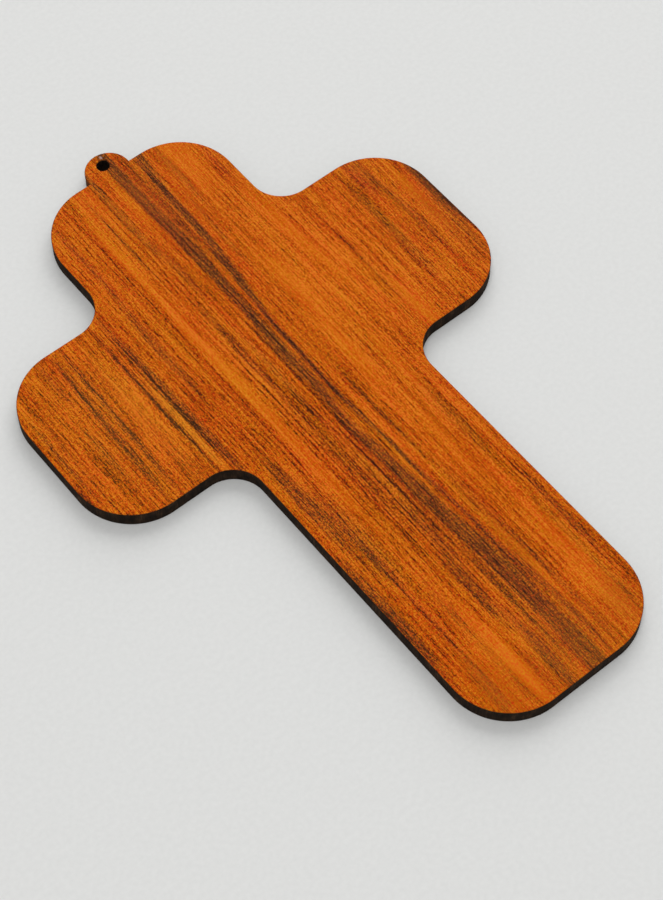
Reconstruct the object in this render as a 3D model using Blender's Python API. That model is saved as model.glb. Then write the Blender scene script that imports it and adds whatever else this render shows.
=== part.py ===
"""Flat wooden prayer cross with a round hanging tab on its head, lying on its back.

Metres, +Z up. +Y runs towards the head of the cross and +X to the right of someone who looks at its
face. The origin lies on the back, in the middle of the outline's length and width.
"""
import math

import bmesh
import bpy
from mathutils import Vector

# Driving sizes of the board
BOARD_THICKNESS = 0.004
UPRIGHT_WIDTH = 0.047
CROSSBAR_WIDTH = 0.047
# How far each end stands out beyond the square where the bars cross
HEAD_REACH = 0.032
ARM_REACH = 0.032
STEM_REACH = 0.0845
# Rounding of the eight outer corners and the four inner ones
END_RADIUS = 0.0145
INNER_RADIUS = 0.008

# Driving sizes of the hanging tab and its hole
TAB_WIDTH = 0.011
TAB_RISE = 0.0059
HOLE_DIAMETER = 0.003
# Wood left between the hole and the top of the tab
HOLE_WEB = 0.0019

# Rounding of every arris where the faces meet the cut edge
ARRIS_RADIUS = 0.0002

# Facets of the round stretches
QUARTER_STEPS = 14
HOLE_STEPS = 32
ARRIS_STEPS = 2
# Edges that turn by more than this are arrises, and the facets of an arc turn by less
ARRIS_ANGLE = math.radians(40)

# Places along +Y that follow from the sizes, with the whole length centred on the origin
LENGTH = STEM_REACH + CROSSBAR_WIDTH + HEAD_REACH + TAB_RISE
FOOT_Y = -LENGTH / 2
CROSSBAR_LOW_Y = FOOT_Y + STEM_REACH
CROSSBAR_HIGH_Y = CROSSBAR_LOW_Y + CROSSBAR_WIDTH
HEAD_Y = CROSSBAR_HIGH_Y + HEAD_REACH
TAB_TOP_Y = HEAD_Y + TAB_RISE
TAB_CENTRE_Y = TAB_TOP_Y - TAB_WIDTH / 2
HOLE_Y = TAB_TOP_Y - HOLE_WEB - HOLE_DIAMETER / 2

# How far the hole's cutter stands out beyond each face of the board
CUTTER_OVERRUN = BOARD_THICKNESS / 2

# Satin lacquered orange-brown hardwood
WOOD_COLOUR = (0.46, 0.094, 0.008, 1.0)
WOOD_ROUGHNESS = 0.42


def arc(centre, start, end):
    """Points of a quarter round about centre, from centre + start to centre + end."""
    turns = [math.pi / 2 * step / QUARTER_STEPS for step in range(QUARTER_STEPS + 1)]
    return [centre + start * math.cos(turn) + end * math.sin(turn) for turn in turns]


def rounded(corners):
    """Closed outline through right-angled corners (x, y, radius), each one rounded by its radius."""
    outline = []
    for index, (x, y, radius) in enumerate(corners):
        corner = Vector((x, y))
        to_last = (Vector(corners[index - 1][:2]) - corner).normalized() * radius
        to_next = (Vector(corners[(index + 1) % len(corners)][:2]) - corner).normalized() * radius
        outline += arc(corner + to_last + to_next, -to_next, -to_last)
    return outline


def cross_outline():
    """Outline of the cross without its tab, anticlockwise from the foot's right corner."""
    half_upright = UPRIGHT_WIDTH / 2
    arm_tip = half_upright + ARM_REACH
    end_radius = min(END_RADIUS, half_upright, CROSSBAR_WIDTH / 2)
    right_side = [
        (half_upright, FOOT_Y, end_radius),
        (half_upright, CROSSBAR_LOW_Y, INNER_RADIUS),
        (arm_tip, CROSSBAR_LOW_Y, end_radius),
        (arm_tip, CROSSBAR_HIGH_Y, end_radius),
        (half_upright, CROSSBAR_HIGH_Y, INNER_RADIUS),
        (half_upright, HEAD_Y, end_radius),
    ]
    left_side = [(-x, y, radius) for x, y, radius in reversed(right_side)]
    return rounded(right_side + left_side)


def tab_outline():
    """Outline of the tab, half round above and reaching straight down into the head."""
    radius = TAB_WIDTH / 2
    centre = Vector((0, TAB_CENTRE_Y))
    right = Vector((radius, 0))
    top = Vector((0, radius))
    root = [centre - right - 2 * top, centre + right - 2 * top]
    return root + arc(centre, right, top) + arc(centre, top, -right)[1:]


def add_plate(name, outline):
    """Board of the full thickness, cut to the outline."""
    shape = bmesh.new()
    back = shape.faces.new([shape.verts.new((x, y, 0)) for x, y in outline])
    front = bmesh.ops.extrude_face_region(shape, geom=[back], use_keep_orig=True)["geom"]
    raised = [item for item in front if isinstance(item, bmesh.types.BMVert)]
    bmesh.ops.translate(shape, verts=raised, vec=(0, 0, BOARD_THICKNESS))
    bmesh.ops.recalc_face_normals(shape, faces=shape.faces)
    return add_object(name, shape)


def add_hole_cutter():
    """Plain cylinder through the tab."""
    shape = bmesh.new()
    depth = BOARD_THICKNESS + 2 * CUTTER_OVERRUN
    radius = HOLE_DIAMETER / 2
    bmesh.ops.create_cone(
        shape, cap_ends=True, segments=HOLE_STEPS, radius1=radius, radius2=radius, depth=depth)
    bmesh.ops.translate(shape, verts=shape.verts, vec=(0, HOLE_Y, BOARD_THICKNESS / 2))
    return add_object("hole_cutter", shape)


def add_object(name, shape):
    """Object from a bmesh, shaded smooth except across its arrises."""
    mesh = bpy.data.meshes.new(name)
    shape.to_mesh(mesh)
    shape.free()
    mesh.shade_smooth()
    mesh.set_sharp_from_angle(angle=ARRIS_ANGLE)
    item = bpy.data.objects.new(name, mesh)
    bpy.context.scene.collection.objects.link(item)
    return item


def combine(board, tool, operation):
    """Join a helper body to the board, or cut it out, and keep the helper out of renders."""
    modifier = board.modifiers.new(tool.name, "BOOLEAN")
    modifier.operation = operation
    modifier.solver = "EXACT"
    modifier.object = tool
    tool.display_type = "WIRE"
    tool.hide_render = True


def round_arrises(board):
    """Round every arris of the board, the hole's too."""
    modifier = board.modifiers.new("arris", "BEVEL")
    modifier.limit_method = "ANGLE"
    modifier.angle_limit = ARRIS_ANGLE
    modifier.width = ARRIS_RADIUS
    modifier.segments = ARRIS_STEPS
    modifier.use_clamp_overlap = False


def wood():
    """Material of the whole board."""
    material = bpy.data.materials.new("Lacquered hardwood board")
    material.use_nodes = True
    shader = material.node_tree.nodes["Principled BSDF"]
    shader.inputs["Base Color"].default_value = WOOD_COLOUR
    shader.inputs["Roughness"].default_value = WOOD_ROUGHNESS
    shader.inputs["Metallic"].default_value = 0.0
    return material


def build():
    for item in list(bpy.data.objects):
        bpy.data.objects.remove(item)
    cross = add_plate("cross", cross_outline())
    cross.data.materials.append(wood())
    combine(cross, add_plate("tab_blank", tab_outline()), "UNION")
    combine(cross, add_hole_cutter(), "DIFFERENCE")
    round_arrises(cross)


build()
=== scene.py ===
import math

import bpy
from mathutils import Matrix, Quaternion, Vector


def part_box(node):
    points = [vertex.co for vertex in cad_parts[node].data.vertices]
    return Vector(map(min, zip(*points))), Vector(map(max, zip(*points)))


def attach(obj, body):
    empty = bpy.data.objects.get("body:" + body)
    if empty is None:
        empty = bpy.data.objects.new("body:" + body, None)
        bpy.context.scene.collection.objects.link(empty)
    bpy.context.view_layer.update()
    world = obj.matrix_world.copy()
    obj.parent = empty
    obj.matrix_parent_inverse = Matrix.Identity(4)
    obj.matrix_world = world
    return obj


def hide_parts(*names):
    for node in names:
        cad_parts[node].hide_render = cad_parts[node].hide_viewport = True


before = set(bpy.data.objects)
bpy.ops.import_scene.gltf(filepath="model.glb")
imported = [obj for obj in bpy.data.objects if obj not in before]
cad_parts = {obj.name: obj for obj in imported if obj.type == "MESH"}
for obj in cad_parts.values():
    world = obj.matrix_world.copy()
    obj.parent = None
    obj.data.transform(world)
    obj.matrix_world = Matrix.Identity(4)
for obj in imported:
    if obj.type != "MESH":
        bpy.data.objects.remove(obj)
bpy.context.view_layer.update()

MM = 0.001

# The board's box in the frame: the back lies on z = low.z and the tab's top is at y = high.y
low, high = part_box("cross")

# Sizes of the cut outline, in metres
UPRIGHT_WIDTH = 47 * MM
CROSSBAR_WIDTH = 47 * MM
HEAD_REACH = 32 * MM
END_RADIUS = 14.5 * MM
INNER_RADIUS = 8 * MM
TAB_WIDTH = 11 * MM
TAB_RISE = 5.9 * MM
HOLE_DIAMETER = 3 * MM
HOLE_WEB = 1.9 * MM
ARRIS_RADIUS = 0.2 * MM

# The browned band beside the cut, and the ripple that the cutting beam leaves on the wall
SCORCH_WIDTH = 0.8 * MM
RIPPLE_DEPTH = 0.035 * MM
RIPPLE_PITCH = 0.7 * MM
RIPPLE_LEAN = 0.1
RIPPLE_SEED = 4.0

# Pitch of the mesh along the outline and down the wall
MESH_STEP = 0.45 * MM
WALL_STEP = 0.4 * MM
HOLE_FACETS = 48
ARRIS_STEPS = 4
# Corners of the cut edge's section, the face's first
SECTION_CORNERS = 4
MERGE_DISTANCE = 0.001 * MM
# A facet whose normal rises more than this is face or back, and the others belong to the cut
FLAT_RISE = 0.8
# A size in mm that is far beyond the board
FAR = 1000000.0

# Slow and quick waves of the grain, each with its width, its length and its sway in mm
GRAIN_WAVES = (
    (26.0, 70.0, 0.5),
    (3.0, 10.0, 0.24),
    (0.8, 2.4, 0.075),
)
# Soft layers of tone, each with the width and length of its marks in mm and its share of the tone
GROUND_LAYERS = (
    (12.0, 120.0, 0.13),
    (3.6, 50.0, 0.18),
    (1.5, 30.0, 0.24),
)
# Fibres and flecks, which show most where the grain is busy
FLECK_LAYERS = (
    (0.7, 16.0, 0.20),
    (0.30, 3.0, 0.30),
    (0.38, 0.45, 0.95),
    (0.24, 0.28, 0.90),
)
# Shifts between redder and yellower wood, given in the same way
HUE_LAYERS = (
    (0.40, 0.60, 0.062),
    (2.2, 24.0, 0.028),
)
# Thin dark lines of the growth layers, given in the same way. Real ones are about 0.1 mm wide, and
# they are drawn twice as wide to show
LINE_LAYERS = (
    (0.75, 38.0, 0.28),
    (1.20, 58.0, 0.28),
)
# Width and length in mm of the beads that break up the lines, the noise where a bead shuts and where
# it is open, and how much of a line is left in a gap
BEAD_WIDTH = 0.28
BEAD_LENGTH = 1.2
BEAD_SHUT = 0.38
BEAD_OPEN = 0.60
BEAD_GAP = 0.42
# How far from its middle the noise draws a line: to the rim, and darkest within the core
LINE_RIM = 0.075
LINE_CORE = 0.01
# Pores cut along their length, each layer with its cell's width and length in mm and its share
PORE_LAYERS = (
    (0.60, 6.5, 0.20),
    (0.45, 3.0, 0.22),
    (0.40, 1.5, 0.24),
)
# A pore's rim and core, as shares of its cell, and the share of the cells that hold one
PORE_RIM = 0.36
PORE_CORE = 0.10
PORE_CHANCE = 0.65
# How many cells each layer of pores is moved across from the one before
PORE_SHIFT = 3.7
# Value that the noise varies about, how far apart in it two layers lie, and the first layer of each
# kind of mark
NOISE_MIDDLE = 0.5
LAYER_STEP = 10.0
GROUND, FLECK, LINE, BEAD, HUE, SCORCH, BACK = 0, 10, 20, 30, 40, 50, 60
# Streaks are given by x and y of the middle, half width and half length in mm, lean in degrees
# towards +x going up, and depth, which is below nought for a light one. These show on both sides
HEART_STREAKS = (
    # Heart streak, from the hole down through the crossing to the foot
    (1.2, 74, 2.2, 24, 0, 0.98),
    (1.3, 54, 2.2, 24, 0, 0.75),
    (1.0, 32, 1.9, 24, 1, 0.70),
    (0.6, 10, 2.1, 24, 0, 0.85),
    (0.2, -14, 1.9, 18, -3, 0.62),
    (1.5, -34, 2.6, 24, -2, 0.68),
    (2.8, -58, 3.2, 26, -1, 0.98),
    (3.0, -82, 3.2, 22, 0, 1.00),
    # Crisp line that runs beside it
    (8.0, 78, 2.0, 16, 4, 0.70),
    (6.6, 60, 1.5, 18, 1, 0.75),
    (5.6, 44, 1.7, 18, 5, 0.80),
    (4.0, 30, 1.3, 16, 5, 0.75),
    (3.1, 12, 1.1, 20, 1, 0.75),
    (3.4, -8, 1.0, 18, -3, 0.70),
    (4.5, -28, 1.0, 20, -3, 0.65),
    (5.6, -50, 1.0, 20, -2, 0.60),
)
# The other streaks of tone
TONE_STREAKS = HEART_STREAKS + (
    # Browner wood between and beside the two
    (-1.5, -30, 6.5, 34, -4, 0.30),
    (2.0, -66, 6.5, 30, 0, 0.22),
    (4.2, 64, 5.5, 26, 2, 0.22),
    (3.8, 58, 2.2, 30, 2, 0.25),
    (12.2, 68, 1.6, 16, 1, 0.35),
    (9.6, 50, 1.0, 20, 2, 0.30),
    (7.2, -12, 1.0, 24, -2, 0.30),
    (7.0, -68, 1.4, 22, 0, 0.45),
    (8.6, -44, 2.2, 24, 0, 0.25),
    (9.8, -64, 1.0, 24, 0, 0.40),
    # Left half of the head and the crossing
    (-19.2, 58, 1.2, 26, 0, 0.40),
    (-9.3, 62, 0.8, 22, 0, 0.40),
    # Tab, on both sides of the hole
    (-4.9, 79, 1.0, 8, 0, 0.60),
    (2.0, 80, 1.0, 9, 0, 0.60),
    (-5.4, 66, 1.5, 22, 0, 0.45),
    (-3.0, 60, 1.3, 16, 0, -0.15),
    (-12.2, 10, 2.0, 74, 0, -0.29),
    (-20.2, 31, 1.8, 22, 0, 0.45),
    (-6.8, 20, 1.6, 28, 0, 0.35),
    (-4.2, 46, 1.2, 14, 0, 0.35),
    (-1.0, 16, 1.0, 14, 0, 0.35),
    (-4.2, 10, 1.2, 26, 0, 0.35),
    # Left half of the stem
    (-19.8, -18, 2.6, 20, 0, 0.55),
    (-22.6, -50, 2.2, 24, 0, 0.70),
    (-17.0, -34, 1.6, 28, -1, 0.30),
    (-16.8, -64, 1.2, 22, 0, 0.30),
    (-18.0, -75, 2.2, 12, 0, 0.30),
    (-15.6, -32, 3.0, 20, 0, 0.30),
    (-18.5, -30, 4.0, 24, 0, 0.20),
    (-7.0, -18, 2.2, 30, 0, 0.20),
    (-3.9, -44, 1.8, 20, 0, 0.30),
    (-5.6, -56, 2.0, 16, 0, 0.50),
    (-3.8, -76, 1.9, 20, 0, 0.65),
    (-1.0, -64, 1.2, 22, 0, 0.30),
    (-10.3, -66, 2.6, 26, 0, -0.40),
    # Right half of the head and the stem
    (21.0, 62, 0.9, 14, 0, 0.30),
    (18.6, -60, 1.1, 26, 0, 0.25),
    (20.8, -54, 1.5, 22, 0, 0.40),
    (18.4, -22, 2.5, 20, 0, 0.25),
    (17.5, -77, 5.5, 15, 0, 0.22),
    (-1.0, -80, 26.0, 16, 0, 0.26),
    (7.5, 34, 1.2, 12, 0, -0.35),
    (22.0, 32, 9.0, 36, 0, -0.50),
    (12.0, -4, 3.0, 46, 0, -0.45),
    (9.8, 4, 1.6, 18, 0, -0.40),
    # Right arm, with the dark rim
    (29.8, 22, 0.8, 24, 0, 0.25),
    (25.2, 24, 1.8, 34, 0, -0.60),
    (32.2, 38, 2.6, 18, 0, -0.65),
    (34.5, 24, 2.2, 30, 0, -0.60),
    (40.2, 24, 2.0, 28, 0, 0.30),
    (44.0, 42, 3.5, 11, 0, 0.35),
    (46.6, 26, 1.4, 24, -2, 0.35),
    (50.5, 18, 2.0, 20, 0, 0.25),
    (53.0, 16, 1.6, 22, 0, 0.35),
    (58.0, 30, 5.6, 26, 0, 3.00),
    # Left arm
    (-25.6, 20, 1.8, 38, -1, 0.75),
    (-27.4, 16, 0.8, 24, 0, -0.40),
    (-29.0, 22, 1.0, 34, 0, 0.50),
    (-31.2, 26, 1.9, 30, 0, -0.60),
    (-34.4, 26, 2.8, 34, 0, -0.75),
    (-37.9, 24, 1.3, 32, 2, 0.60),
    (-40.7, 24, 1.6, 32, 2, 0.60),
    (-43.4, 40, 1.0, 14, 0, 0.35),
    (-45.2, 18, 1.4, 14, 0, 0.35),
    (-48.8, 16, 2.4, 24, 0, -0.60),
    (-51.2, 20, 0.9, 26, 0, 0.25),
    (-53.2, 22, 1.0, 20, 0, 0.45),
    (-54.9, 10, 1.0, 12, 0, 0.40),
)
# Part of its half width and half length over which a streak keeps its full depth
STREAK_CORE = 0.25
# Strips where the grain is quiet
QUIET_STREAKS = (
    (-12.2, 10, 2.0, 70, 0, 0.75),
    (-10.2, -72, 2.4, 24, 0, 0.70),
    (15.0, 70, 6.0, 18, 0, 0.65),
    (22.0, 42, 2.6, 26, -3, 0.60),
    (1.0, 66, 5.0, 20, 0, 0.50),
    (13.0, 26, 3.4, 22, 0, 0.50),
    (12.0, 4, 2.4, 14, 0, 0.60),
    (18.0, -4, 1.5, 18, 0, 0.60),
    (31.5, 6, 3.4, 12, 0, 0.60),
    (50.6, 28, 1.8, 18, 0, 0.70),
    (56.0, 30, 4.0, 26, 0, 0.60),
    (0.0, -78, 30.0, 18, 0, 0.35),
    (45.5, 34, 4.0, 16, 0, 0.20),
    (16.0, -66, 4.2, 28, 0, 0.50),
    (8.0, -56, 1.6, 18, 0, 0.50),
    (14.0, -28, 5.0, 18, 0, 0.30),
    (-17.0, -76, 6.0, 18, 0, 0.40),
    (-40.0, 22, 24.0, 36, 0, -0.35),
    (-33.6, 24, 3.4, 32, 0, 0.12),
    (-14.0, -20, 12.0, 60, 0, -0.15),
    (-5.0, -10, 6.5, 52, 0, -0.26),
    (-27.5, 22, 4.0, 30, 0, -0.30),
    (-7.5, 68, 6.0, 18, 0, 0.35),
    (-12.4, 60, 1.6, 16, 0, 0.40),
    (9.5, 62, 3.0, 18, 0, 0.35),
)
# Long dark lines that stand out on the face
LONG_LINES = (
    # Stem and crossing
    (-19.1, -4, 0.24, 16, 0, 0.6),
    (-16.0, -20, 0.24, 34, 1, 0.7),
    (-14.6, -10, 0.22, 28, 0, 0.5),
    (-9.8, -24, 0.26, 24, -2, 0.7),
    (-7.4, -34, 0.24, 32, 0, 0.8),
    (-6.2, -14, 0.26, 26, 0, 0.9),
    (-5.3, -22, 0.22, 22, 0, 0.7),
    (-2.2, -24, 0.30, 40, -1.5, 1.0),
    (6.8, -8, 0.24, 16, -1, 0.7),
    (9.6, -16, 0.22, 22, -4, 0.6),
    (11.6, -28, 0.22, 30, 0, 0.5),
    (15.4, -30, 0.22, 26, 0, 0.4),
    (20.4, -34, 0.24, 36, -1, 0.6),
    (-8.6, 6, 0.24, 30, 0, 0.8),
    (-4.2, -38, 0.26, 26, 0, 0.8),
    (-1.2, 12, 0.28, 26, 0, 0.7),
    (0.8, 24, 0.26, 26, 0, 0.6),
    (2.4, -10, 0.28, 24, -2, 0.7),
    (0.6, -44, 0.28, 24, -2, 0.8),
    (3.2, 16, 0.30, 28, 2, 0.7),
    # Arms
    (-28.9, 22, 0.36, 34, 0, 0.8),
    (-25.9, 22, 0.40, 34, -1, 0.6),
    (-40.7, 24, 0.36, 30, 2, 0.7),
    (-37.6, 24, 0.30, 30, 2, 0.6),
    (-35.3, 20, 0.24, 22, 0, 0.4),
    (-33.0, 14, 0.24, 18, 0, 0.4),
    (-46.8, 22, 0.24, 20, 0, 0.4),
    (29.6, 24, 0.24, 22, 0, 0.5),
    (32.6, 20, 0.24, 18, 0, 0.4),
    (35.6, 26, 0.26, 24, 0, 0.5),
    (39.2, 22, 0.24, 24, 0, 0.4),
    (45.0, 30, 0.22, 16, 0, 0.4),
    # Right arm's dark rim
    (57.5, 30, 4.8, 27, 0, 0.9),
    # Head
    (-17.5, 54, 0.24, 30, 0, 0.4),
    (-15.7, 50, 0.26, 34, 0, 0.5),
    (-14.3, 52, 0.26, 30, 0, 0.6),
    (-9.3, 62, 0.26, 22, 0, 0.6),
    (-7.4, 56, 0.24, 26, 0, 0.5),
    (-6.2, 66, 0.28, 22, 0, 0.6),
    (-4.4, 66, 0.28, 20, 0, 0.6),
    (10.1, 60, 0.22, 22, 0, 0.3),
    (16.0, 54, 0.24, 20, 0, 0.4),
    (19.3, 64, 0.24, 10, 0, 0.4),
)
# Ochre streaks, given in the same way
OCHRE_STREAKS = (
    (-27.6, 12, 1.1, 22, 0, 0.28),
    (-39.0, 22, 20.0, 36, 0, 0.07),
    (-33.4, 20, 2.8, 34, 0, 0.09),
    (-12.4, -62, 2.0, 24, 0, 0.12),
)
# Pale spot above the hole, painted in as a glint: a painted highlight
PAINTED_GLINT_SPOTS = (
    (1.0, 83.5, 0.5, 0.7, 0, 0.8),
)

# Middle in mm of a spot on the tab's left wall where the char has come off
BARE_SPOT = (-5.4, 80.0, 4.0)

# Uneven brown line beside the cut: the size of its patches in mm, how far they move it, how near
# the cut it begins and is full, its colour, and its strength on each side
SCORCH_PATCH = 1.2
SCORCH_SHIFT = 0.35
SCORCH_BEGINS = 0.80
SCORCH_FULL = 1.15
SCORCH_COLOUR = "#2a1810"
FACE_SCORCH = 0.35
BACK_SCORCH = 0.9

# Tone of the face from 0, darkest, to 1, and what the dark streaks and the lines take off it
FACE_TONE = 0.94
STREAK_TONE = 0.18
LINE_TONE = 0.65
# Tone of the bare back, and what the dark streaks take off it
BACK_TONE = 0.80
BACK_STREAK_TONE = 0.35
# How much of a dark streak is greyer wood, and how much more under a dark mark
HEART_SHARE = 0.83
HEART_UNDER_MARKS = 1.8
# Middle of the face's hue, where 0.5 leaves it alone, and its saturation
FACE_HUE = 0.4980
FACE_SATURATION = 1.01
FACE_COLOURS = (
    (0.00, "#451f06"), (0.12, "#5c2706"), (0.25, "#742e05"), (0.38, "#8c3a06"), (0.50, "#a24708"),
    (0.62, "#b3510b"), (0.74, "#bf5a0e"), (0.86, "#c96313"), (1.00, "#da7922"))
# The same tones in the greyer wood of the dark streaks
HEART_COLOURS = (
    (0.00, "#2f180b"), (0.35, "#512a11"), (0.65, "#7d3f15"), (0.85, "#9a4f18"), (1.00, "#b55d1d"))
OCHRE_COLOUR = "#d08a22"
PAINTED_GLINT_COLOUR = "#b8958a"
# Unlacquered wood of the back
BACK_COLOURS = (
    (0.00, "#5c3a22"), (0.35, "#885a34"), (0.70, "#a87446"), (1.00, "#bd8a58"))
# Charred wood of the cut, with brown smudges where the char is thin
CHAR_COLOURS = (
    (0.00, "#19130e"), (0.40, "#2f231a"), (0.70, "#4a3829"), (1.00, "#70553d"))

# Pale brown painted on the top arris as a highlight of its rounded edge, and brown wood that shows at the
# bare spot
ARRIS_HIGHLIGHT_COLOUR = "#8a6a50"
BARE_COLOUR = "#7c4018"
# Marks on the charred wall, each layer with its width and height in mm and its share of the tone
CHAR_TONE = 0.30
CHAR_LAYERS = (
    (0.30, 5.0, 0.7),
    (2.2, 3.0, 1.1),
    (0.35, 0.35, 0.45),
)
# Heights in mm where the arris's painted highlight begins and is full, and its strength
ARRIS_HIGHLIGHT_FROM = 3.86
ARRIS_HIGHLIGHT_TO = 3.98
ARRIS_HIGHLIGHT_STRENGTH = 0.5
# Radii in mm where the bare spot begins and is full, and its strength
BARE_RIM = 3.2
BARE_CORE = 1.6
BARE_STRENGTH = 0.75

# Roughness of each smooth surface, what a cut or a dark mark adds, and its reflection's level
FACE_ROUGHNESS, FACE_CUT_ROUGHNESS, FACE_GLOSS = 0.40, 0.4, 0.035
BACK_ROUGHNESS, BACK_CUT_ROUGHNESS, BACK_GLOSS = 0.62, 0.3, 0.25
CHAR_ROUGHNESS, CHAR_MARK_ROUGHNESS, CHAR_GLOSS = 0.78, 0.2, 0.05
PAPER_ROUGHNESS, PAPER_TOOTH_ROUGHNESS, PAPER_GLOSS = 0.85, 0.1, 0.12
WOOD_IOR = 1.5
# Depth of the open pores, the char's marks and the paper's tooth, and the strength of their bumps
PORE_DEPTH, FACE_BUMP, BACK_BUMP = 0.06 * MM, 0.6, 0.8
CHAR_DEPTH, CHAR_BUMP = 0.05 * MM, 0.7
TOOTH_DEPTH, PAPER_BUMP = 0.02 * MM, 0.2
# Marks of the paper's tooth per metre, and its two shades
TOOTH_SCALE = 900.0
PAPER_COLOURS = ((0.3, "#dcdcda"), (0.7, "#e0e0de"))
# Half the floor's side in metres
FLOOR_REACH = 3.0

# Camera as the photograph was taken, in degrees, pixels of 663 x 900 and metres
AZIMUTH = -38.64
ELEVATION = 59.14
ROLL = -0.43
FOCAL_PIXELS = 2308
IMAGE_LONG_SIDE = 900
SENSOR = 36.0
CAMERA_TARGET = Vector((-7.2 * MM, -11.3 * MM, 4 * MM))
CAMERA_DISTANCE = 492.7 * MM
CLIP_START = 0.01
CLIP_END = 20.0

# Soft light in a pale even room. Each lamp is given by its place and side in metres and its watts: a
# very wide one beyond the head's right, which draws the shadows to the lower left, and one overhead
LAMPS = (
    ((1.93, 1.62, 1.63), 3.0, 65.5),
    ((-0.41, -0.35, 2.54), 1.1, 22.2),
)
ROOM_STRENGTH = 0.425
ROOM_COLOUR = "#f4f5f6"


def linear(code):
    """Linear RGBA of an sRGB hex colour."""
    channels = [int(code[i:i + 2], 16) / 255 for i in (1, 3, 5)]
    return [c / 12.92 if c <= 0.04045 else ((c + 0.055) / 1.055) ** 2.4 for c in channels] + [1.0]


def fill(tree, node, sockets):
    """Link or set a node's enabled inputs by name or number. A node stands for its first output."""
    usable = [socket for socket in node.inputs if socket.enabled]
    for key, value in sockets.items():
        socket = usable[key] if isinstance(key, int) else next(s for s in usable if s.name == key)
        if isinstance(value, bpy.types.Node):
            value = next(s for s in value.outputs if s.enabled)
        if isinstance(value, bpy.types.NodeSocket):
            tree.links.new(value, socket)
        else:
            socket.default_value = value


def add(tree, kind, sockets=None, stops=(), **settings):
    """Add a node with its settings, its colour stops if it is a ramp, and its links."""
    node = tree.nodes.new(kind)
    for name, value in settings.items():
        setattr(node, name, value)
    for _ in stops[2:]:
        node.color_ramp.elements.new(1.0)
    for number, (at, code) in enumerate(stops):
        node.color_ramp.elements[number].position = at
        node.color_ramp.elements[number].color = linear(code)
    fill(tree, node, sockets or {})
    return node


def square_cut_corners():
    """Corners of the outline before rounding, anticlockwise from the foot's right, with their radii."""
    half = UPRIGHT_WIDTH / 2
    head = high.y - TAB_RISE
    bar_top = head - HEAD_REACH
    bar_low = bar_top - CROSSBAR_WIDTH
    tab = TAB_WIDTH / 2
    right = [
        (half, low.y, END_RADIUS),
        (half, bar_low, INNER_RADIUS),
        (high.x, bar_low, END_RADIUS),
        (high.x, bar_top, END_RADIUS),
        (half, bar_top, INNER_RADIUS),
        (half, head, END_RADIUS),
        (tab, head, 0.0),
        (tab, high.y, tab),
    ]
    return right + [(-x, y, radius) for x, y, radius in reversed(right)]


def outline_object():
    """Loose loop of edges through the square-cut corners, each with its rounding as an attribute."""
    corners = square_cut_corners()
    count = len(corners)
    mesh = bpy.data.meshes.new("cross_board")
    mesh.from_pydata(
        [(x, y, 0.0) for x, y, _ in corners], [(i, (i + 1) % count) for i in range(count)], [])
    radii = mesh.attributes.new("corner_radius", "FLOAT", "POINT")
    radii.data.foreach_set("value", [radius for _, _, radius in corners])
    board = bpy.data.objects.new("cross_board", mesh)
    bpy.context.scene.collection.objects.link(board)
    return board


def next_point(tree, position):
    """Place of the following point on the same curve."""
    following = add(tree, "GeometryNodeOffsetPointInCurve", {"Offset": 1})
    return add(tree, "GeometryNodeFieldAtIndex", {
        "Index": following.outputs["Point Index"], "Value": position},
        data_type="FLOAT_VECTOR", domain="POINT")


def subdivided(tree, curve, step):
    """Cut each straight stretch of a curve into pieces of about one step."""
    position = add(tree, "GeometryNodeInputPosition")
    length = add(tree, "ShaderNodeVectorMath", {
        0: position, 1: next_point(tree, position)}, operation="DISTANCE")
    pieces = add(tree, "ShaderNodeMath", {0: length, 1: step}, operation="DIVIDE")
    cuts = add(tree, "FunctionNodeFloatToInt", {0: pieces}, rounding_mode="FLOOR")
    return add(tree, "GeometryNodeSubdivideCurve", {"Curve": curve, "Cuts": cuts})


def captured(tree, geometry, **fields):
    """Keep vectors on a curve's points, so that the swept mesh can still read them by name."""
    node = tree.nodes.new("GeometryNodeCaptureAttribute")
    tree.links.new(geometry.outputs[0], node.inputs["Geometry"])
    for name, field in fields.items():
        item = node.capture_items.new("VECTOR", name)
        tree.links.new(field.outputs[0], node.inputs[item.name])
    return node.outputs


def edge_section(tree, given):
    """Path from the face's browned band over the arris, down the wall and in again along the back."""
    index = add(tree, "GeometryNodeInputIndex")
    middle = (SECTION_CORNERS - 1) / 2
    from_middle = add(tree, "ShaderNodeMath", {0: index, 1: middle}, operation="SUBTRACT")
    is_end = add(tree, "ShaderNodeMath", {
        0: add(tree, "ShaderNodeMath", {0: from_middle}, operation="ABSOLUTE"), 1: 1.0},
        operation="GREATER_THAN")
    is_face = add(tree, "ShaderNodeMath", {0: index, 1: middle}, operation="LESS_THAN")
    corner = add(tree, "ShaderNodeCombineXYZ", {
        "X": add(tree, "ShaderNodeMath", {0: is_end, 1: given["Scorch width"]}, operation="MULTIPLY"),
        "Z": add(tree, "ShaderNodeMath", {0: is_face, 1: given["Thickness"]}, operation="MULTIPLY")})
    corners = add(tree, "GeometryNodeSetPosition", {
        "Geometry": add(tree, "GeometryNodeMeshLine", {"Count": SECTION_CORNERS}), "Position": corner})
    section = add(tree, "GeometryNodeFilletCurve", {
        "Curve": add(tree, "GeometryNodeMeshToCurve", {"Mesh": corners}),
        "Count": ARRIS_STEPS, "Radius": given["Arris radius"]}, mode="POLY")
    return subdivided(tree, section, WALL_STEP)


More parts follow.
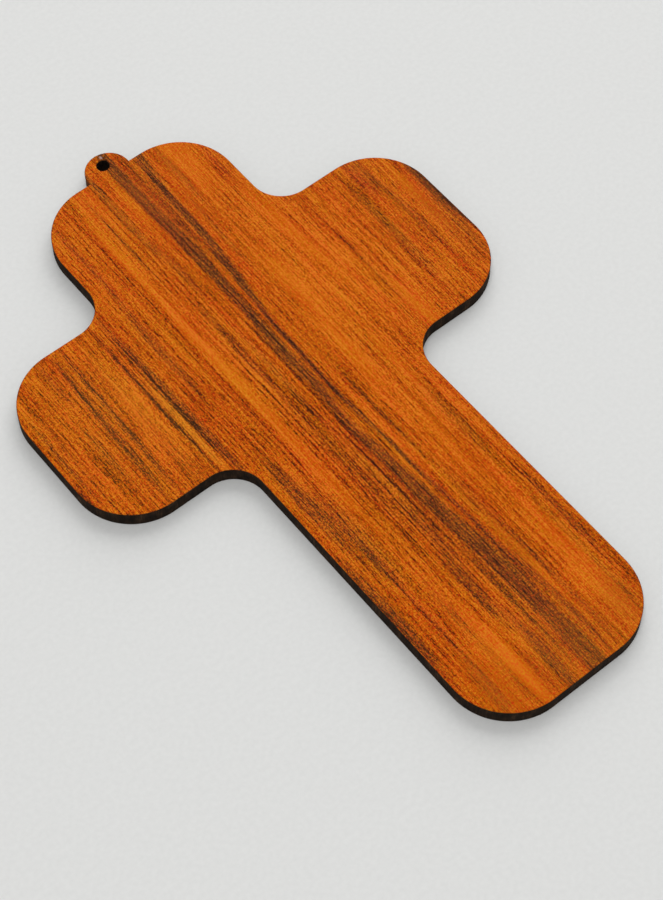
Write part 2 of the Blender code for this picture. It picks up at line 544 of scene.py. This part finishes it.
def cut_path(tree, given):
    """The rounded outline and the hole's circle, which runs the other way round."""
    loop = add(tree, "GeometryNodeMeshToCurve", {"Mesh": given["Geometry"]})
    radius = add(tree, "GeometryNodeInputNamedAttribute", {"Name": "corner_radius"}, data_type="FLOAT")
    turn = add(tree, "ShaderNodeMath", {0: radius, 1: math.pi / 2}, operation="MULTIPLY")
    facets = add(tree, "ShaderNodeMath", {0: turn, 1: given["Mesh step"]}, operation="DIVIDE")
    count = add(tree, "FunctionNodeFloatToInt", {0: facets}, rounding_mode="CEILING")
    outline = add(tree, "GeometryNodeFilletCurve", {
        "Curve": loop, "Count": count, "Radius": radius}, mode="POLY")
    circle = add(tree, "GeometryNodeCurvePrimitiveCircle", {
        "Resolution": HOLE_FACETS, "Radius": given["Hole radius"]}, mode="RADIUS")
    hole = add(tree, "GeometryNodeTransform", {
        "Geometry": add(tree, "GeometryNodeReverseCurve", {"Curve": circle}),
        "Translation": add(tree, "ShaderNodeCombineXYZ", {"Y": given["Hole place"]})})
    path = add(tree, "GeometryNodeJoinGeometry")
    for piece in (hole, outline):
        tree.links.new(piece.outputs[0], path.inputs[0])
    return subdivided(tree, path, given["Mesh step"])


def into_wood(tree, position):
    """Direction into the wood at a point of the path, lengthened where the path has a sharp corner."""
    tangent = add(tree, "GeometryNodeInputTangent")
    along = add(tree, "ShaderNodeVectorMath", {
        0: add(tree, "ShaderNodeVectorMath", {
            0: next_point(tree, position), 1: position}, operation="SUBTRACT")},
        operation="NORMALIZE")
    spread = add(tree, "ShaderNodeVectorMath", {0: tangent, 1: along}, operation="DOT_PRODUCT")
    side = add(tree, "ShaderNodeVectorMath", {0: (0.0, 0.0, 1.0), 1: tangent}, operation="CROSS_PRODUCT")
    mitre = add(tree, "ShaderNodeMath", {0: 1.0, 1: spread}, operation="DIVIDE")
    return add(tree, "ShaderNodeVectorMath", {0: side, "Scale": mitre}, operation="SCALE")


def ripple(tree, given, origin, depth, height):
    """How far the wall is cut back at each point: most half way down, and nothing at the faces."""
    turn = add(tree, "ShaderNodeMath", {
        0: add(tree, "ShaderNodeMath", {0: height, 1: math.pi}, operation="MULTIPLY"),
        1: given["Thickness"]}, operation="DIVIDE")
    belly = add(tree, "ShaderNodeMath", {0: turn}, operation="SINE")
    drag = add(tree, "ShaderNodeMath", {0: height, 1: RIPPLE_LEAN}, operation="MULTIPLY")
    place = add(tree, "ShaderNodeVectorMath", {
        0: origin, 1: add(tree, "ShaderNodeCombineXYZ", {"Z": drag})}, operation="ADD")
    scale = add(tree, "ShaderNodeMath", {0: 1.0, 1: given["Ripple pitch"]}, operation="DIVIDE")
    noise = add(tree, "ShaderNodeTexNoise", {
        "Vector": place, "W": given["Seed"], "Scale": scale, "Detail": 1.0}, noise_dimensions="4D")
    cut = add(tree, "ShaderNodeMath", {0: noise, 1: belly}, operation="MULTIPLY")
    cut = add(tree, "ShaderNodeMath", {0: cut, 1: given["Ripple depth"]}, operation="MULTIPLY")
    is_wall = add(tree, "ShaderNodeMath", {0: depth, 1: MERGE_DISTANCE}, operation="LESS_THAN")
    return add(tree, "ShaderNodeMath", {0: cut, 1: is_wall}, operation="MULTIPLY")


def board_tree(face, back, cut):
    """Tree that rounds the outline, cuts it through the board and finishes every arris."""
    tree = bpy.data.node_groups.new("Board cut to an outline", "GeometryNodeTree")
    tree.is_modifier = True
    sizes = {
        "Thickness": high.z - low.z,
        "Arris radius": ARRIS_RADIUS,
        "Scorch width": SCORCH_WIDTH,
        "Hole radius": HOLE_DIAMETER / 2,
        "Hole place": high.y - HOLE_WEB - HOLE_DIAMETER / 2,
        "Ripple depth": RIPPLE_DEPTH,
        "Ripple pitch": RIPPLE_PITCH,
        "Mesh step": MESH_STEP,
        "Seed": RIPPLE_SEED,
    }
    tree.interface.new_socket("Geometry", in_out="INPUT", socket_type="NodeSocketGeometry")
    for name in sizes:
        tree.interface.new_socket(name, in_out="INPUT", socket_type="NodeSocketFloat")
    tree.interface.new_socket("Geometry", in_out="OUTPUT", socket_type="NodeSocketGeometry")
    given = add(tree, "NodeGroupInput").outputs

    # Sweep the edge's section round the outline and the hole
    position = add(tree, "GeometryNodeInputPosition")
    path, origin, inward = list(captured(
        tree, cut_path(tree, given), origin=position, inward=into_wood(tree, position)))[:3]
    section, section_at = list(captured(tree, edge_section(tree, given), section=position))[:2]
    strip = add(tree, "GeometryNodeCurveToMesh", {"Curve": path, "Profile Curve": section})
    parts = add(tree, "ShaderNodeSeparateXYZ", {"Vector": section_at})
    depth, height = parts.outputs["X"], parts.outputs["Z"]
    reach = add(tree, "ShaderNodeMath", {
        0: depth, 1: ripple(tree, given, origin, depth, height)}, operation="ADD")
    at = add(tree, "ShaderNodeVectorMath", {
        0: origin, 1: add(tree, "ShaderNodeVectorMath", {0: inward, "Scale": reach}, operation="SCALE")},
        operation="ADD")
    at = add(tree, "ShaderNodeVectorMath", {
        0: at, 1: add(tree, "ShaderNodeCombineXYZ", {"Z": height})}, operation="ADD")
    strip = add(tree, "GeometryNodeSetPosition", {"Geometry": strip, "Position": at})

    # How near the cut each point lies, from 1 at the wall to 0 where the browned band ends
    near = add(tree, "ShaderNodeMapRange", {
        "Value": depth, "From Min": given["Scorch width"], "From Max": 0.0})
    strip = add(tree, "GeometryNodeStoreNamedAttribute", {
        "Geometry": strip, "Name": "scorch", "Value": near}, data_type="FLOAT", domain="POINT")

    # The flats of face and back, inside the browned band
    inset = add(tree, "ShaderNodeVectorMath", {
        0: inward, "Scale": given["Scorch width"]}, operation="SCALE")
    edge = add(tree, "GeometryNodeSetPosition", {"Geometry": path, "Offset": inset})
    flat = add(tree, "GeometryNodeFillCurve", {"Curve": edge}, mode="TRIANGLES")
    back_flat = add(tree, "GeometryNodeFlipFaces", {"Mesh": flat})
    lift = add(tree, "ShaderNodeCombineXYZ", {"Z": given["Thickness"]})
    face_flat = add(tree, "GeometryNodeSetPosition", {"Geometry": flat, "Offset": lift})
    board = add(tree, "GeometryNodeJoinGeometry")
    for piece in (back_flat, face_flat, strip):
        tree.links.new(piece.outputs[0], board.inputs[0])
    board = add(tree, "GeometryNodeMergeByDistance", {"Geometry": board, "Distance": MERGE_DISTANCE})
    board = add(tree, "GeometryNodeSetShadeSmooth", {"Geometry": board, "Shade Smooth": True})
    board = add(tree, "GeometryNodeRealizeInstances", {"Geometry": board})

    # What faces up is the face, what faces down is the back, and the rest is the charred cut
    normal = add(tree, "ShaderNodeSeparateXYZ", {"Vector": add(tree, "GeometryNodeInputNormal")})
    rise = normal.outputs["Z"]
    is_face = add(tree, "ShaderNodeMath", {0: rise, 1: FLAT_RISE}, operation="GREATER_THAN")
    is_back = add(tree, "ShaderNodeMath", {0: rise, 1: -FLAT_RISE}, operation="LESS_THAN")
    board = add(tree, "GeometryNodeSetMaterial", {"Geometry": board, "Material": cut})
    for material, chosen in ((face, is_face), (back, is_back)):
        board = add(tree, "GeometryNodeSetMaterial", {
            "Geometry": board, "Selection": chosen, "Material": material})
    tree.links.new(board.outputs[0], add(tree, "NodeGroupOutput").inputs[0])
    return tree, sizes


def new_material(name):
    """Material with a plain Principled shader, and that shader's tree."""
    material = bpy.data.materials.new(name)
    material.use_nodes = True
    tree = material.node_tree
    return material, tree, tree.nodes["Principled BSDF"]


def grain_place(tree):
    """Place in mm, x across the grain and y along it, swaying as the grain does."""
    place = add(tree, "ShaderNodeVectorMath", {
        0: add(tree, "ShaderNodeTexCoord").outputs["Object"], 1: (1 / MM, 1 / MM, 0.0)},
        operation="MULTIPLY")
    for width, length, sway in GRAIN_WAVES:
        cells = add(tree, "ShaderNodeMapping", {
            "Vector": place, "Scale": (1 / width, 1 / length, 1.0)})
        noise = add(tree, "ShaderNodeTexNoise", {"Vector": cells, "Scale": 1.0, "Detail": 0.0})
        shift = add(tree, "ShaderNodeMapRange", {"Value": noise, "To Min": -sway, "To Max": sway})
        place = add(tree, "ShaderNodeVectorMath", {
            0: place, 1: add(tree, "ShaderNodeCombineXYZ", {"X": shift})}, operation="ADD")
    return place


def streak_cover(tree, place, streaks):
    """How strongly the streaks cover each place, fading from each one's middle to its rim.

    The cover so far travels as the place's own z, so the streaks are worked out one after another
    and the shader holds few values at once. FAR keeps that z out of the distance.
    """
    for x, y, half_width, half_length, lean, depth in streaks:
        own = add(tree, "ShaderNodeMapping", {
            "Vector": place, "Location": (x, y, 0.0), "Rotation": (0.0, 0.0, -math.radians(lean)),
            "Scale": (half_width, half_length, FAR)}, vector_type="TEXTURE")
        distance = add(tree, "ShaderNodeVectorMath", {0: own}, operation="LENGTH")
        spot = add(tree, "ShaderNodeMapRange", {
            "Value": distance, "From Min": 1.0, "From Max": STREAK_CORE, "To Max": depth},
            interpolation_type="SMOOTHSTEP")
        place = add(tree, "ShaderNodeVectorMath", {
            0: place, 1: add(tree, "ShaderNodeCombineXYZ", {"Z": spot})}, operation="ADD")
    return add(tree, "ShaderNodeSeparateXYZ", {"Vector": place}).outputs["Z"]


def layered_noise(tree, place, width, length, layer):
    """Noise whose marks are so many mm wide and long, different for each layer."""
    cells = add(tree, "ShaderNodeMapping", {
        "Vector": place, "Location": (0.0, 0.0, LAYER_STEP * layer),
        "Scale": (1 / width, 1 / length, 1.0)})
    return add(tree, "ShaderNodeTexNoise", {"Vector": cells, "Scale": 1.0, "Detail": 1.0})


def soft_tone(tree, place, layers, first, tone):
    """Tone moved up and down by soft noise, each layer by its share."""
    for layer, (width, length, share) in enumerate(layers):
        noise = layered_noise(tree, place, width, length, first + layer)
        centred = add(tree, "ShaderNodeMath", {0: noise, 1: NOISE_MIDDLE}, operation="SUBTRACT")
        tone = add(tree, "ShaderNodeMath", {0: centred, 1: share, 2: tone}, operation="MULTIPLY_ADD")
    return tone


def beads(tree, place):
    """Breaks in the lines, from BEAD_GAP in a gap to 1 where a pore is open."""
    noise = layered_noise(tree, place, BEAD_WIDTH, BEAD_LENGTH, BEAD)
    return add(tree, "ShaderNodeMapRange", {
        "Value": noise, "From Min": BEAD_SHUT, "From Max": BEAD_OPEN, "To Min": BEAD_GAP},
        interpolation_type="SMOOTHSTEP")


def line_cover(tree, place):
    """Thin dark lines along the grain, wherever the noise passes through its middle."""
    cover = 0.0
    for layer, (width, length, share) in enumerate(LINE_LAYERS):
        noise = layered_noise(tree, place, width, length, LINE + layer)
        off = add(tree, "ShaderNodeMath", {0: noise, 1: NOISE_MIDDLE}, operation="SUBTRACT")
        off = add(tree, "ShaderNodeMath", {0: off}, operation="ABSOLUTE")
        line = add(tree, "ShaderNodeMapRange", {
            "Value": off, "From Min": LINE_RIM, "From Max": LINE_CORE, "To Max": share},
            interpolation_type="SMOOTHSTEP")
        cover = add(tree, "ShaderNodeMath", {0: line, 1: cover}, operation="ADD")
    return cover


def pore_cover(tree, place):
    """Short dark dashes where the long pores are cut open."""
    cover = 0.0
    for layer, (width, length, share) in enumerate(PORE_LAYERS):
        cells = add(tree, "ShaderNodeMapping", {
            "Vector": place, "Location": (PORE_SHIFT * layer, 0.0, 0.0),
            "Scale": (1 / width, 1 / length, 1.0)})
        cell = add(tree, "ShaderNodeTexVoronoi", {"Vector": cells, "Scale": 1.0}, voronoi_dimensions="2D")
        dash = add(tree, "ShaderNodeMapRange", {
            "Value": cell.outputs["Distance"],
            "From Min": PORE_RIM, "From Max": PORE_CORE, "To Max": share},
            interpolation_type="SMOOTHSTEP")
        chance = add(tree, "ShaderNodeSeparateColor", {"Color": cell.outputs["Color"]})
        is_open = add(tree, "ShaderNodeMath", {
            0: chance.outputs["Red"], 1: PORE_CHANCE}, operation="LESS_THAN")
        cover = add(tree, "ShaderNodeMath", {0: dash, 1: is_open, 2: cover}, operation="MULTIPLY_ADD")
    return cover


def browned(tree, place, colour, strength):
    """Colour darkened in a thin uneven line beside the cut, as the beam scorches it."""
    near = add(tree, "ShaderNodeAttribute", attribute_name="scorch").outputs["Fac"]
    uneven = layered_noise(tree, place, SCORCH_PATCH, SCORCH_PATCH, SCORCH)
    near = add(tree, "ShaderNodeMath", {0: uneven, 1: SCORCH_SHIFT, 2: near}, operation="MULTIPLY_ADD")
    rim = add(tree, "ShaderNodeMapRange", {
        "Value": near, "From Min": SCORCH_BEGINS, "From Max": SCORCH_FULL, "To Max": strength},
        interpolation_type="SMOOTHSTEP")
    return add(tree, "ShaderNodeMix", {
        "Factor": rim, "A": colour, "B": linear(SCORCH_COLOUR)}, data_type="RGBA")


def face_wood():
    """Orange-brown hardwood under a thin matt lacquer, which deepens its colour and leaves the pores
    open: dark grey-brown streaks, thin beaded lines, short pores and fine flecks, with a dull sheen.
    """
    material, tree, shader = new_material("Matt lacquered hardwood")
    place = grain_place(tree)
    streaks = streak_cover(tree, place, TONE_STREAKS)
    streaks = add(tree, "ShaderNodeMath", {0: streaks, 1: 1.0}, operation="MINIMUM")
    quiet = streak_cover(tree, place, QUIET_STREAKS)
    busy = add(tree, "ShaderNodeMath", {0: 1.0, 1: quiet}, operation="SUBTRACT")
    busy = add(tree, "ShaderNodeMath", {0: busy, 1: 0.0}, operation="MAXIMUM")
    gaps = beads(tree, place)
    lines = add(tree, "ShaderNodeMath", {0: line_cover(tree, place), 1: gaps}, operation="MULTIPLY")
    cuts = add(tree, "ShaderNodeMath", {0: lines, 1: pore_cover(tree, place)}, operation="ADD")
    flecks = soft_tone(tree, place, FLECK_LAYERS, FLECK, 0.0)
    marks = add(tree, "ShaderNodeMath", {0: flecks, 1: cuts}, operation="SUBTRACT")
    marks = add(tree, "ShaderNodeMath", {0: marks, 1: busy}, operation="MULTIPLY")
    tone = soft_tone(tree, place, GROUND_LAYERS, GROUND, FACE_TONE)
    tone = add(tree, "ShaderNodeMath", {0: streaks, 1: -STREAK_TONE, 2: tone}, operation="MULTIPLY_ADD")
    tone = add(tree, "ShaderNodeMath", {0: marks, 1: tone}, operation="ADD")
    long_lines = add(tree, "ShaderNodeMath", {
        0: streak_cover(tree, place, LONG_LINES), 1: gaps}, operation="MULTIPLY")
    tone = add(tree, "ShaderNodeMath", {0: long_lines, 1: -LINE_TONE, 2: tone}, operation="MULTIPLY_ADD")
    # The marks break the dark streaks up, so that orange shows between their own dark flecks
    ragged = add(tree, "ShaderNodeMath", {
        0: marks, 1: -HEART_UNDER_MARKS, 2: HEART_SHARE}, operation="MULTIPLY_ADD")
    ragged = add(tree, "ShaderNodeMath", {0: ragged, 1: streaks}, operation="MULTIPLY")
    heart = add(tree, "ShaderNodeMix", {
        "Factor": ragged,
        "A": add(tree, "ShaderNodeValToRGB", {"Fac": tone}, FACE_COLOURS),
        "B": add(tree, "ShaderNodeValToRGB", {"Fac": tone}, HEART_COLOURS)}, data_type="RGBA")
    hue = soft_tone(tree, place, HUE_LAYERS, HUE, FACE_HUE)
    colour = add(tree, "ShaderNodeHueSaturation", {
        "Color": heart, "Hue": hue, "Saturation": FACE_SATURATION})
    colour = add(tree, "ShaderNodeMix", {
        "Factor": streak_cover(tree, place, OCHRE_STREAKS), "A": colour, "B": linear(OCHRE_COLOUR)},
        data_type="RGBA")
    # Painted highlight: a pale glint painted just above the hole
    colour = add(tree, "ShaderNodeMix", {
        "Factor": streak_cover(tree, place, PAINTED_GLINT_SPOTS), "A": colour, "B": linear(PAINTED_GLINT_COLOUR)},
        data_type="RGBA")
    rough = add(tree, "ShaderNodeMath", {
        0: cuts, 1: FACE_CUT_ROUGHNESS, 2: FACE_ROUGHNESS}, operation="MULTIPLY_ADD")
    bump = add(tree, "ShaderNodeBump", {
        "Strength": FACE_BUMP, "Distance": PORE_DEPTH, "Height": cuts}, invert=True)
    fill(tree, shader, {
        "Base Color": browned(tree, place, colour, FACE_SCORCH), "Roughness": rough, "Normal": bump,
        "IOR": WOOD_IOR, "Specular IOR Level": FACE_GLOSS})
    return material


def back_wood():
    """The same hardwood, sanded and left bare: paler, duller, with open pores and smoke at the cut."""
    material, tree, shader = new_material("Sanded bare hardwood")
    place = grain_place(tree)
    cuts = add(tree, "ShaderNodeMath", {
        0: line_cover(tree, place), 1: pore_cover(tree, place)}, operation="ADD")
    tone = soft_tone(tree, place, GROUND_LAYERS + FLECK_LAYERS, BACK, BACK_TONE)
    tone = add(tree, "ShaderNodeMath", {0: tone, 1: cuts}, operation="SUBTRACT")
    streaks = streak_cover(tree, place, HEART_STREAKS)
    tone = add(tree, "ShaderNodeMath", {
        0: streaks, 1: -BACK_STREAK_TONE, 2: tone}, operation="MULTIPLY_ADD")
    colour = add(tree, "ShaderNodeValToRGB", {"Fac": tone}, BACK_COLOURS)
    rough = add(tree, "ShaderNodeMath", {
        0: cuts, 1: BACK_CUT_ROUGHNESS, 2: BACK_ROUGHNESS}, operation="MULTIPLY_ADD")
    bump = add(tree, "ShaderNodeBump", {
        "Strength": BACK_BUMP, "Distance": PORE_DEPTH, "Height": cuts}, invert=True)
    fill(tree, shader, {
        "Base Color": browned(tree, place, colour, BACK_SCORCH), "Roughness": rough, "Normal": bump,
        "IOR": WOOD_IOR, "Specular IOR Level": BACK_GLOSS})
    return material


def charred_cut():
    """Wood burnt through by the cutting beam: near black and dead matt, with fine upright marks."""
    material, tree, shader = new_material("Charred cut hardwood")
    place = add(tree, "ShaderNodeVectorMath", {
        0: add(tree, "ShaderNodeTexCoord").outputs["Object"], "Scale": 1 / MM}, operation="SCALE")
    tone = CHAR_TONE
    for width, height, share in CHAR_LAYERS:
        cells = add(tree, "ShaderNodeMapping", {
            "Vector": place, "Scale": (1 / width, 1 / width, 1 / height)})
        noise = add(tree, "ShaderNodeTexNoise", {"Vector": cells, "Scale": 1.0, "Detail": 1.0})
        centred = add(tree, "ShaderNodeMath", {0: noise, 1: NOISE_MIDDLE}, operation="SUBTRACT")
        tone = add(tree, "ShaderNodeMath", {0: centred, 1: share, 2: tone}, operation="MULTIPLY_ADD")
    colour = add(tree, "ShaderNodeValToRGB", {"Fac": tone}, CHAR_COLOURS)
    # Painted highlight: the top arris is made paler brown, where the rounded edge would catch light
    height = add(tree, "ShaderNodeSeparateXYZ", {"Vector": place}).outputs["Z"]
    arris_highlight = add(tree, "ShaderNodeMapRange", {
        "Value": height, "From Min": ARRIS_HIGHLIGHT_FROM, "From Max": ARRIS_HIGHLIGHT_TO, "To Max": ARRIS_HIGHLIGHT_STRENGTH},
        interpolation_type="SMOOTHSTEP")
    arris_highlight = add(tree, "ShaderNodeMath", {0: arris_highlight, 1: tone}, operation="MULTIPLY")
    colour = add(tree, "ShaderNodeMix", {
        "Factor": arris_highlight, "A": colour, "B": linear(ARRIS_HIGHLIGHT_COLOUR)}, data_type="RGBA")
    bare = add(tree, "ShaderNodeMapRange", {
        "Value": add(tree, "ShaderNodeVectorMath", {0: place, 1: BARE_SPOT}, operation="DISTANCE"),
        "From Min": BARE_RIM, "From Max": BARE_CORE, "To Max": BARE_STRENGTH},
        interpolation_type="SMOOTHSTEP")
    colour = add(tree, "ShaderNodeMix", {
        "Factor": bare, "A": colour, "B": linear(BARE_COLOUR)}, data_type="RGBA")
    rough = add(tree, "ShaderNodeMath", {
        0: tone, 1: CHAR_MARK_ROUGHNESS, 2: CHAR_ROUGHNESS}, operation="MULTIPLY_ADD")
    bump = add(tree, "ShaderNodeBump", {
        "Strength": CHAR_BUMP, "Distance": CHAR_DEPTH, "Height": tone})
    fill(tree, shader, {
        "Base Color": colour, "Roughness": rough, "Normal": bump, "Specular IOR Level": CHAR_GLOSS})
    return material


def paper():
    """Smooth matt paper, nearly even, with a faint tooth."""
    material, tree, shader = new_material("Matt white paper")
    place = add(tree, "ShaderNodeTexCoord").outputs["Object"]
    noise = add(tree, "ShaderNodeTexNoise", {"Vector": place, "Scale": TOOTH_SCALE, "Detail": 2.0})
    colour = add(tree, "ShaderNodeValToRGB", {"Fac": noise}, PAPER_COLOURS)
    rough = add(tree, "ShaderNodeMath", {
        0: noise, 1: PAPER_TOOTH_ROUGHNESS, 2: PAPER_ROUGHNESS}, operation="MULTIPLY_ADD")
    bump = add(tree, "ShaderNodeBump", {
        "Strength": PAPER_BUMP, "Distance": TOOTH_DEPTH, "Height": noise})
    fill(tree, shader, {
        "Base Color": colour, "Roughness": rough, "Normal": bump, "Specular IOR Level": PAPER_GLOSS})
    return material


def make_board():
    """The cross as one closed board, which stands for the frame's own."""
    board = outline_object()
    tree, sizes = board_tree(face_wood(), back_wood(), charred_cut())
    modifier = board.modifiers.new("Board", "NODES")
    modifier.node_group = tree
    for item in tree.interface.items_tree:
        if item.in_out == "INPUT" and item.name in sizes:
            modifier[item.identifier] = sizes[item.name]
    evaluated = board.evaluated_get(bpy.context.evaluated_depsgraph_get())
    mesh = bpy.data.meshes.new_from_object(evaluated)
    board.modifiers.remove(modifier)
    board.data = mesh
    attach(board, "root")
    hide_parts("cross")
    return board


def make_floor():
    """Plain pale floor under the cross."""
    mesh = bpy.data.meshes.new("floor")
    corners = [(x * FLOOR_REACH, y * FLOOR_REACH) for x, y in ((-1, -1), (1, -1), (1, 1), (-1, 1))]
    mesh.from_pydata([(x, y, low.z) for x, y in corners], [], [(0, 1, 2, 3)])
    floor = bpy.data.objects.new("floor", mesh)
    bpy.context.scene.collection.objects.link(floor)
    mesh.materials.append(paper())


def make_light():
    """Wide soft lamps and an even pale room."""
    for place, side, watts in LAMPS:
        lamp = bpy.data.lights.new("softbox", "AREA")
        lamp.shape = "SQUARE"
        lamp.size = side
        lamp.energy = watts
        softbox = bpy.data.objects.new("softbox", lamp)
        softbox.location = place
        softbox.rotation_mode = "QUATERNION"
        softbox.rotation_quaternion = (-Vector(place)).to_track_quat("-Z", "Y")
        bpy.context.scene.collection.objects.link(softbox)
    world = bpy.data.worlds.new("Pale studio")
    world.use_nodes = True
    world.node_tree.nodes["Background"].inputs["Color"].default_value = linear(ROOM_COLOUR)
    world.node_tree.nodes["Background"].inputs["Strength"].default_value = ROOM_STRENGTH
    bpy.context.scene.world = world


def make_camera():
    """Camera at the photograph's viewing angle."""
    data = bpy.data.cameras.new("camera")
    data.sensor_width = SENSOR
    data.lens = FOCAL_PIXELS * SENSOR / IMAGE_LONG_SIDE
    camera = bpy.data.objects.new("camera", data)
    azimuth, elevation = math.radians(AZIMUTH), math.radians(ELEVATION)
    back = Vector((
        math.sin(azimuth) * math.cos(elevation),
        -math.cos(azimuth) * math.cos(elevation),
        math.sin(elevation)))
    camera.location = CAMERA_TARGET + back * CAMERA_DISTANCE
    camera.rotation_mode = "QUATERNION"
    roll = Quaternion((0, 0, 1), math.radians(ROLL))
    camera.rotation_quaternion = (-back).to_track_quat("-Z", "Y") @ roll
    data.clip_start = CLIP_START
    data.clip_end = CLIP_END
    bpy.context.scene.collection.objects.link(camera)
    bpy.context.scene.camera = camera


make_camera()
make_board()
make_floor()
make_light()
bpy.context.scene.view_settings.view_transform = "Standard"
